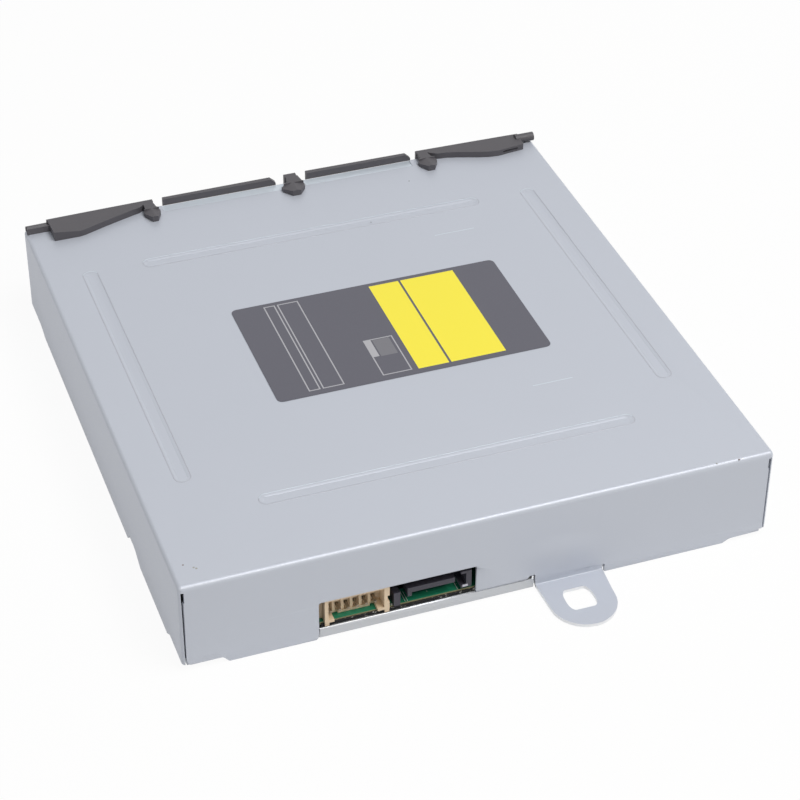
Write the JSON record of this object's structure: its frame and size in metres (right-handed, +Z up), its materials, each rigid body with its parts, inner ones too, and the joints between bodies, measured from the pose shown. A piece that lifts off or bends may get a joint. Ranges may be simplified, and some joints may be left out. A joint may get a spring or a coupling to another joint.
{
  "type": "console blu-ray drive",
  "caption": "Slot-loading optical disc drive module in a folded steel case, with a moulded bezel, a roller loader, a tilting traverse, a laser pickup and rear sockets.",
  "frame": {"origin": "underside of the chassis floor, at the middle of the case in width and depth", "axes": "+Z up out of the case's top, -Y out of the disc slot at the front, +Y towards the sockets at the rear"},
  "size_m": [0.1462, 0.1713, 0.0275],
  "materials": {
    "cover_steel": "fine satin grey coat on steel sheet",
    "chassis_steel": "galvanised steel sheet",
    "bezel_plastic": "dark grey moulded plastic",
    "felt": "black felt",
    "label_film": "printed sticker film",
    "board_laminate": "green solder mask on laminate",
    "insulation_sheet": "black insulation sheet",
    "chip_resin": "black moulding resin",
    "header_cream": "cream moulded nylon",
    "tin_plate": "tin-plated pins",
    "header_black": "black moulded plastic",
    "frame_plastic": "black glass-filled plastic",
    "base_plastic": "dark grey plastic",
    "gear_plastic": "white acetal",
    "pinion_brass": "machined brass",
    "bright_steel": "ground steel",
    "motor_steel": "plated steel can",
    "plate_steel": "galvanised steel plate",
    "rubber": "black rubber",
    "bush_nylon": "natural nylon",
    "slide_plastic": "natural acetal",
    "lever_plastic": "dark plastic",
    "table_plastic": "dark plastic and rubber seat",
    "sled_metal": "die-cast zinc alloy",
    "lens_glass": "coated lens"
  },
  "bodies": {
    "case": {"top_cover": "cover_steel", "bottom_chassis": "chassis_steel", "chassis_screw_1": "bright_steel", "chassis_screw_2": "bright_steel", "chassis_screw_3": "bright_steel", "chassis_screw_4": "bright_steel", "front_bezel": "bezel_plastic", "felt_strip_lower": "felt", "felt_strip_upper": "felt", "top_label": "label_film", "main_board": "board_laminate", "insulation_strip": "insulation_sheet", "drive_chip": "chip_resin", "motor_chip": "chip_resin", "power_header": "header_cream", "power_pin_1": "tin_plate", "power_pin_2": "tin_plate", "power_pin_3": "tin_plate", "power_pin_4": "tin_plate", "power_pin_5": "tin_plate", "power_pin_6": "tin_plate", "data_header": "header_black", "loader_frame": "frame_plastic", "roller_bush_left": "bush_nylon", "roller_bush_right": "bush_nylon", "loading_motor": "motor_steel", "disc_guide": "frame_plastic", "clamp_bracket": "plate_steel"},
    "roller": {"loading_roller": "rubber", "roller_shaft": "bright_steel", "roller_gear": "gear_plastic"},
    "idler": {"idler_gear": "gear_plastic"},
    "drive": {"drive_gear": "gear_plastic"},
    "reduction": {"reduction_gear": "gear_plastic"},
    "pinion": {"motor_pinion": "pinion_brass", "motor_shaft": "bright_steel"},
    "slide": {"cam_slide": "slide_plastic"},
    "lever_left": {"disc_lever_left": "lever_plastic"},
    "lever_right": {"disc_lever_right": "lever_plastic"},
    "clamp": {"clamper": "lever_plastic", "clamp_magnet": "plate_steel"},
    "traverse": {"traverse_base": "base_plastic", "damper_1": "rubber", "damper_2": "rubber", "damper_3": "rubber", "damper_4": "rubber", "traverse_plate": "plate_steel", "guide_rod_main": "bright_steel", "guide_rod_sub": "bright_steel", "spindle_motor": "motor_steel", "sled_motor": "motor_steel", "sled_motor_bracket": "plate_steel"},
    "turntable": {"turntable": "table_plastic"},
    "sled": {"pickup_sled": "sled_metal", "sled_follower": "lever_plastic"},
    "lens": {"lens_holder": "chip_resin", "objective_lens": "lens_glass"},
    "lead_screw": {"lead_screw": "bright_steel"}
  },
  "joints": [
    {"name": "roller_spin", "type": "hinge", "parent": "case", "child": "roller", "pos_m": [0, -0.064, 0.0093], "axis": [1, 0, 0], "continuous": true},
    {"name": "idler_spin", "type": "hinge", "parent": "case", "child": "idler", "pos_m": [0, -0.05428, 0.0093], "axis": [1, 0, 0], "continuous": true},
    {"name": "drive_gear_spin", "type": "hinge", "parent": "case", "child": "drive", "pos_m": [0, -0.04528, 0.0108], "axis": [1, 0, 0], "continuous": true},
    {"name": "reduction_gear_spin", "type": "hinge", "parent": "case", "child": "reduction", "pos_m": [0, -0.03503, 0.012], "axis": [1, 0, 0], "continuous": true},
    {"name": "motor_pinion_spin", "type": "hinge", "parent": "case", "child": "pinion", "pos_m": [0, -0.0258, 0.0074], "axis": [1, 0, 0], "continuous": true},
    {"name": "cam_slide_travel", "type": "slide", "parent": "case", "child": "slide", "axis": [0, -1, 0], "range_m": [0, 0.01]},
    {"name": "traverse_tilt", "type": "hinge", "parent": "case", "child": "traverse", "pos_m": [-0.066, 0.003, 0.0045], "axis": [0, -1, 0], "range_deg": [0, 2.52]},
    {"name": "turntable_spin", "type": "hinge", "parent": "traverse", "child": "turntable", "pos_m": [0.00034, 0.003, 0.01089], "axis": [0.0439, 0, 0.999], "continuous": true},
    {"name": "sled_slide", "type": "slide", "parent": "traverse", "child": "sled", "axis": [-0.999, 0, 0.0439], "range_m": [0, 0.034]},
    {"name": "lead_screw_spin", "type": "hinge", "parent": "traverse", "child": "lead_screw", "pos_m": [-0.04282, -0.019, 0.00799], "axis": [0.999, 0, -0.0439], "range_deg": [0, 4080]},
    {"name": "lens_focus", "type": "slide", "parent": "sled", "child": "lens", "axis": [0.0439, 0, 0.999], "range_m": [-0.0005, 0.0005], "stiffness_N_per_m": 10},
    {"name": "clamper_spin", "type": "hinge", "parent": "case", "child": "clamp", "pos_m": [0, 0.003, 0.0185], "axis": [0, 0, 1], "continuous": true},
    {"name": "disc_lever_left_swing", "type": "hinge", "parent": "case", "child": "lever_left", "pos_m": [0.05, 0.066, 0.009], "axis": [0, 0, -1], "range_deg": [0, 14], "stiffness_Nm_per_rad": 0.01, "springref_deg": -20.05},
    {"name": "disc_lever_right_swing", "type": "hinge", "parent": "case", "child": "lever_right", "pos_m": [-0.05, 0.066, 0.009], "axis": [0, 0, 1], "range_deg": [0, 14]}
  ],
  "couplings": [
    {"joint": "idler_spin", "follows": "roller_spin", "ratio": -1},
    {"joint": "drive_gear_spin", "follows": "roller_spin", "ratio": 1.1429},
    {"joint": "reduction_gear_spin", "follows": "roller_spin", "ratio": -2.7429},
    {"joint": "motor_pinion_spin", "follows": "roller_spin", "ratio": 6.5829},
    {"joint": "traverse_tilt", "follows": "cam_slide_travel", "rad_per_m": 4.3954},
    {"joint": "lead_screw_spin", "follows": "sled_slide", "rad_per_m": 2094.4},
    {"joint": "disc_lever_right_swing", "follows": "disc_lever_left_swing", "ratio": 1}
  ]
}
